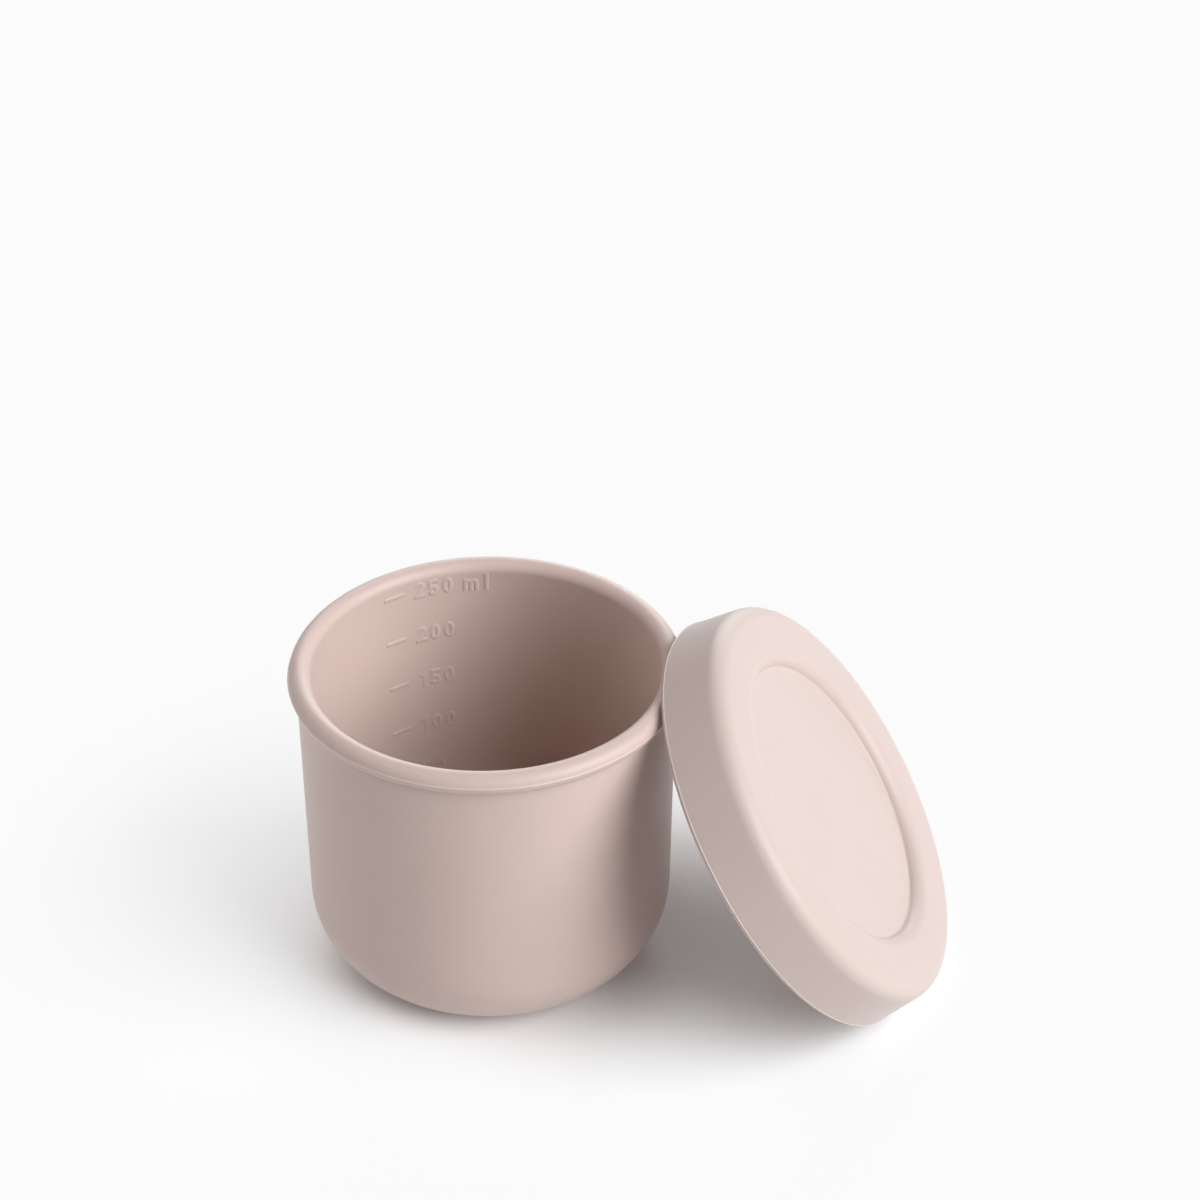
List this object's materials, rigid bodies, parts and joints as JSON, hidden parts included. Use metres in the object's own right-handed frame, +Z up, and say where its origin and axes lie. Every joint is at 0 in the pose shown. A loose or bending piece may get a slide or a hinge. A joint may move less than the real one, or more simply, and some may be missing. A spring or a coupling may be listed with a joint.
{
  "type": "silicone food container",
  "caption": "Round soft silicone food cup with a rolled rim and raised measuring marks inside, with a push-on lid that leans open against it.",
  "frame": {"origin": "middle of the cup's foot ring, on the surface that it stands on", "axes": "+Z up along the cup's axis, +X towards the lid that leans on the rim, Y across"},
  "size_m": [0.1428, 0.0938, 0.0822],
  "materials": {
    "cup_silicone": "matte dusty pink silicone",
    "lid_silicone": "matte dusty pink silicone"
  },
  "bodies": {
    "cup": {"cup": "cup_silicone"},
    "lid": {"lid": "lid_silicone"}
  },
  "joints": [
    {"name": "lid_lift", "type": "slide", "parent": "cup", "child": "lid", "axis": [0, 0, 1], "range_m": [0, 0.09]}
  ]
}
